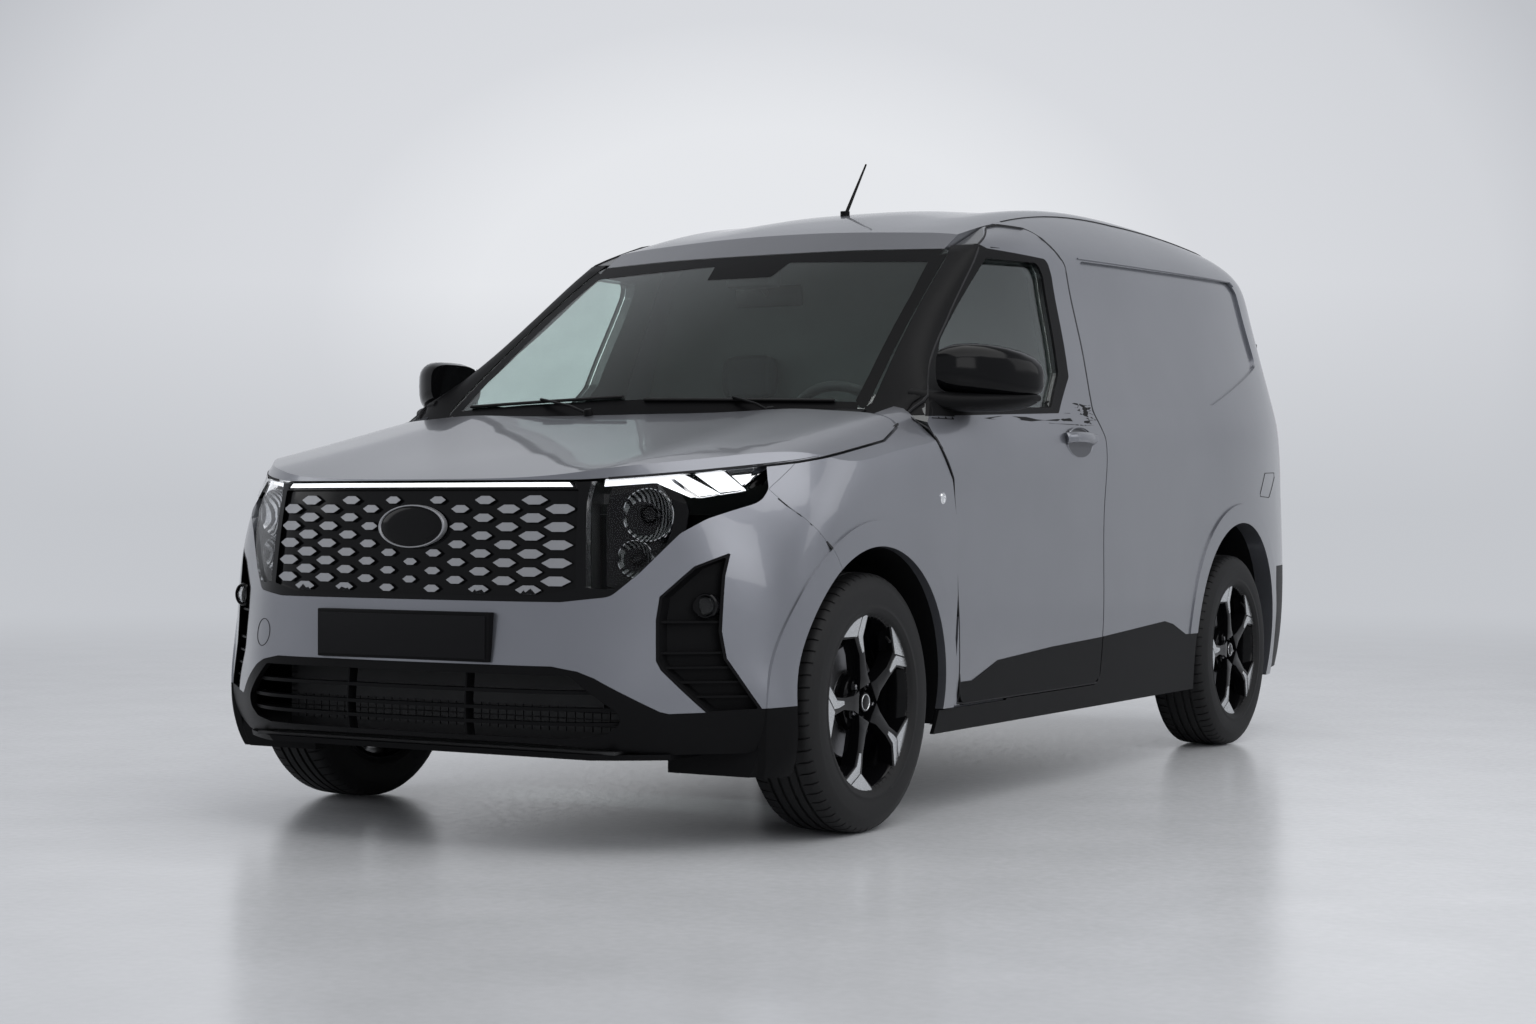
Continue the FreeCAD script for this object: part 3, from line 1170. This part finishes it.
def knuckle():
    """The left front upright with its caliper bracket and the foot of its strut."""
    inside = d.track_half - d.knuckle_depth
    face = d.track_half - d.clearance
    low, high = d.tyre_radius - d.knuckle_height / 2, d.tyre_radius + d.knuckle_height / 2
    upright = box(inside, face, FRONT_AXLE - d.knuckle_width / 2, FRONT_AXLE + d.knuckle_width / 2, low, high)
    bracket = box(inside, face, FRONT_AXLE, FRONT_AXLE + d.disc_radius, d.tyre_radius - d.knuckle_width / 2,
                  d.tyre_radius + d.knuckle_width / 2)
    arm = box(inside, inside + d.knuckle_width / 2, FRONT_AXLE - d.knuckle_width / 4,
              FRONT_AXLE + d.knuckle_width / 4, high, high + d.strut_foot)
    return upright.fuse([bracket, arm]).removeSplitter()


def spindle(place):
    return Part.makeCylinder(d.spindle_radius, d.spindle_length + d.clearance,
                             Vector(d.track_half - d.clearance, place, d.tyre_radius), Vector(1, 0, 0))


def rear_axle():
    """The beam with end plates, spindles, trailing arms and springs up to the load floor."""
    end = d.track_half - d.clearance
    start = end - d.knuckle_depth / 2
    under = d.load_floor_height - d.floor_thickness - d.seat_gap
    beam = Part.makeCylinder(d.axle_tube_radius, 2 * start, Vector(-start, REAR_AXLE, d.tyre_radius), Vector(1, 0, 0))
    half_plate = d.knuckle_width / 2
    plate = box(start, end, REAR_AXLE - half_plate, REAR_AXLE + half_plate, d.tyre_radius - half_plate,
                d.tyre_radius + half_plate)
    arm_x = d.wheelhouse_inner - d.liner_wall - d.rail_width - d.clearance
    front = REAR_AXLE - d.trailing_arm
    arm = box(arm_x, arm_x + d.rail_width / 2, front, REAR_AXLE, d.tyre_radius - d.arm_thickness,
              d.tyre_radius + d.arm_thickness)
    post = box(arm_x, arm_x + d.rail_width / 2, front, front + d.rail_width, d.tyre_radius, under)
    spring = Part.makeCylinder(d.spring_radius, under - d.tyre_radius,
                               Vector(arm_x - d.spring_radius, REAR_AXLE, d.tyre_radius))
    left = plate.fuse([arm, post, spring, spindle(REAR_AXLE)])
    return beam.fuse([left, mirrored(left)]).removeSplitter()


def subframe():
    """The front rails and cross members with a lower arm to each knuckle."""
    low = d.tyre_radius - d.knuckle_height / 2 - d.seat_gap
    rail_x = d.wheelhouse_inner - d.liner_wall - d.rail_width - d.clearance
    post_y = along(RAIL_FRONT_SHARE)
    rail = box(rail_x, rail_x + d.rail_width, post_y, firewall_y - d.floor_thickness - d.seat_gap, d.floor_height + d.rail_height / 2,
               d.floor_height + 1.5 * d.rail_height)
    hanger = box(rail_x, rail_x + d.rail_width, FRONT_AXLE - d.knuckle_width, FRONT_AXLE + d.knuckle_width,
                 low - d.arm_thickness, d.floor_height + d.rail_height / 2)
    arm = box(0, d.kingpin_half + d.spindle_radius, FRONT_AXLE - d.arm_thickness, FRONT_AXLE + d.arm_thickness,
              low - d.arm_thickness, low)
    post = box(rail_x, rail_x + d.rail_width / 2, post_y, post_y + d.rail_width / 2,
               d.floor_height + d.rail_height / 2, height(SLAM_PANEL_SHARE))
    slam = box(0, rail_x + d.rail_width, post_y, post_y + d.rail_width, height(SLAM_PANEL_SHARE),
               height(SLAM_PANEL_SHARE) + d.arm_thickness)
    buffer = Part.makeCylinder(d.arm_thickness / 2, BIG, Vector(rail_x + d.arm_thickness, along(BUFFER_SHARE),
                                                                d.floor_height + d.rail_height))
    left = rail.fuse([hanger, arm, post, slam, buffer.common(nose_room)])
    beam = box(-rail_x - d.rail_width, rail_x + d.rail_width, along(RAIL_FRONT_SHARE),
               along(RAIL_FRONT_SHARE) + d.rail_width, d.floor_height + d.rail_height / 2,
               d.floor_height + 1.5 * d.rail_height)
    return beam.fuse([left, mirrored(left)]).removeSplitter()


RAIL_FRONT_SHARE = -0.76
SLAM_PANEL_SHARE = 0.455
BUFFER_SHARE = -0.3
DOOR_TIP_SHARE = 0.52
firewall_y = behind_axle(d.arch_radius + d.liner_wall + d.seat_gap + d.floor_thickness)
LINER_LOW_SHARE = 0.135
FIREWALL_TOP_SHARE = 0.575
bulkhead_y = behind_axle(d.bulkhead_place)
load_end = along(2) - d.side_wall - d.overrun
cabin_room = cabin_hull(d.side_wall + d.seat_gap)
cabin_room = cabin_room.cut(windscreen_surface(d.side_wall + d.seat_gap).extrude(Vector(0, -BIG / 2, BIG / 2)))
cabin_room = cabin_room.cut(rear_surface(d.side_wall + d.seat_gap).extrude(Vector(0, BIG, 0)))
nose_room = nose_hull(d.nose_wall + d.seat_gap).cut(bonnet_surface(d.bonnet_depth + d.seat_gap).extrude(
    Vector(0, 0, BIG)))
glass_below = windscreen_surface(-d.seat_gap).extrude(Vector(0, BIG / 2, -BIG / 2))
behind_bonnet = plan_prism(bonnet_rear(0), -BIG, BIG, half(0.4))
door_glass_hole = side_prism(side_points(DOOR_GLASS_SHARES), 0, BIG)

pair("body_side", body_side())
part("roof_panel", roof())
pair("fender", fender())
part("front_bumper", front_bumper())
part("lower_bumper", lower_bumper())
part("bonnet", bonnet())
pair("door", door())
pair("door_trim", door_trim())
sill = side_cladding()
part("side_cladding", Part.makeCompound([sill, mirrored(sill)]))
pane = cabin_hull(d.side_wall / 3).cut(cabin_hull(d.side_wall / 3 + d.glass_thickness))
pane = pane.common(side_prism(inset(side_points(DOOR_GLASS_SHARES), d.seat_gap), 0, BIG))
pair("door_glass", biggest(pane))
pair("mirror", mirror())
pair("rear_door", biggest(cabin_slab.common(rear_door_solid)))
bumper = cabin_slab.common(box(-BIG, BIG, along(REAR_BUMPER_SHARES[0]), BIG, -BIG, height(REAR_BUMPER_SHARES[1])))
part("rear_bumper", biggest(cut_all(bumper, [rear_arch, mirrored(rear_arch)])))
lamp = biggest(cabin_slab.common(lamp_solid).cut(rear_door_hole))
part("tail_lamps", Part.makeCompound([lamp, mirrored(lamp)]))
glass = windscreen_surface().extrude(Vector(0, d.glass_thickness, -d.glass_thickness / 2))
part("windscreen", biggest(glass.common(front_prism(glass_front, -BIG, BIG))))
part("cowl", cowl())
part("floor_pan", floor_pan())
part("load_floor", load_floor())
part("bulkhead", bulkhead())
shield = biggest(wheelhouse(FRONT_AXLE, nose_room, d.arch_radius, 0))
house = rear_wheelhouse()
part("wheelhouse_liners", Part.makeCompound([shield, mirrored(shield), house, mirrored(house)]))
part("dashboard", dashboard())
place_left = seat(d.seat_place)
part("seats", Part.makeCompound([place_left, mirrored(place_left)]))
part("drive_unit", drive_unit())
part("front_subframe", subframe())
part("rear_axle", rear_axle())
part("grille", grille())
light = headlamp()
part("headlamps", Part.makeCompound([light, mirrored(light), light_bar()]))
pair("knuckle", knuckle().fuse(spindle(FRONT_AXLE)).removeSplitter())

battery = doc.addObject("Part::Box", "battery_pack")
bind(battery, Length="sizes.battery_width", Width="sizes.battery_length", Height="sizes.battery_height")
battery_y = bulkhead_y - 0.6 * d.battery_length
place(battery, -d.battery_width / 2, battery_y, d.floor_height - d.seat_gap - d.battery_height)
keep(battery, "battery_pack")

rod = doc.addObject("Part::Cone", "antenna_rod")
bind(rod, Radius1="2 * sizes.antenna_radius", Radius2="sizes.antenna_radius", Height="sizes.antenna_length")
place(rod, 0, along(ANTENNA_SHARES[0]), height(ANTENNA_SHARES[1]), Vector(-1, 0, 0), d.antenna_lean)
foot = doc.addObject("Part::Cylinder", "antenna_foot")
bind(foot, Radius="5 * sizes.antenna_radius", Height="8 * sizes.antenna_radius")
place(foot, 0, along(ANTENNA_SHARES[0]), height(ANTENNA_SHARES[1]) - 3 * d.antenna_radius)
mast = doc.addObject("Part::MultiFuse", "antenna_mast")
mast.Shapes = [rod, foot]
aerial = doc.addObject("Part::Cut", "antenna")
aerial.Base = mast
aerial.Tool = next(feature for feature in nodes if feature.Label == "roof_panel")
keep(aerial, "antenna")

ring = doc.addObject("Part::Torus", "steering_rim")
bind(ring, Radius1="sizes.wheel_rim_radius", Radius2="sizes.wheel_rim_thickness")
boss = doc.addObject("Part::Cylinder", "steering_boss")
bind(boss, Radius="3 * sizes.wheel_rim_thickness", Height="4 * sizes.wheel_rim_thickness")
place(boss, z=-3 * d.wheel_rim_thickness)
bar = doc.addObject("Part::Box", "steering_bar")
bind(bar, Length="2 * sizes.wheel_rim_radius", Width="2 * sizes.wheel_rim_thickness",
     Height="sizes.wheel_rim_thickness")
place(bar, -d.wheel_rim_radius, -d.wheel_rim_thickness, -d.wheel_rim_thickness / 2)
steering = doc.addObject("Part::MultiFuse", "steering_wheel")
steering.Shapes = [ring, boss, bar]
place(steering, d.seat_place, behind_axle(d.wheel_place), d.wheel_height, Vector(-1, 0, 0), d.column_lean)
keep(steering, "steering_wheel")

for corner, side, axle in (("front_left", 1, FRONT_AXLE), ("front_right", -1, FRONT_AXLE),
                           ("rear_left", 1, REAR_AXLE), ("rear_right", -1, REAR_AXLE)):
    rubber = keep(tyre("tyre_" + corner), "tyre_" + corner)
    metal = keep(wheel("wheel_" + corner), "wheel_" + corner)
    for body in (rubber, metal):
        place(body, side * d.track_half, axle, d.tyre_radius, angle=0 if side > 0 else 180)

doc.recompute()
for item in doc.Objects:
    if "Invalid" in item.State or "Error" in item.State:
        raise RuntimeError("object failed: " + item.Name)
os.makedirs("parts", exist_ok=True)
for feature in nodes:
    shape = feature.Shape
    if shape.isNull() or not shape.isValid():
        raise RuntimeError("bad shape: " + feature.Label)
    print(feature.Label, len(shape.Solids), round(shape.Volume / 1e6, 2), len(shape.Faces))
    shape.exportStep("parts/%s.step" % feature.Label)
print("solid volume in litres", round(sum(feature.Shape.Volume for feature in nodes) / 1e6, 1))
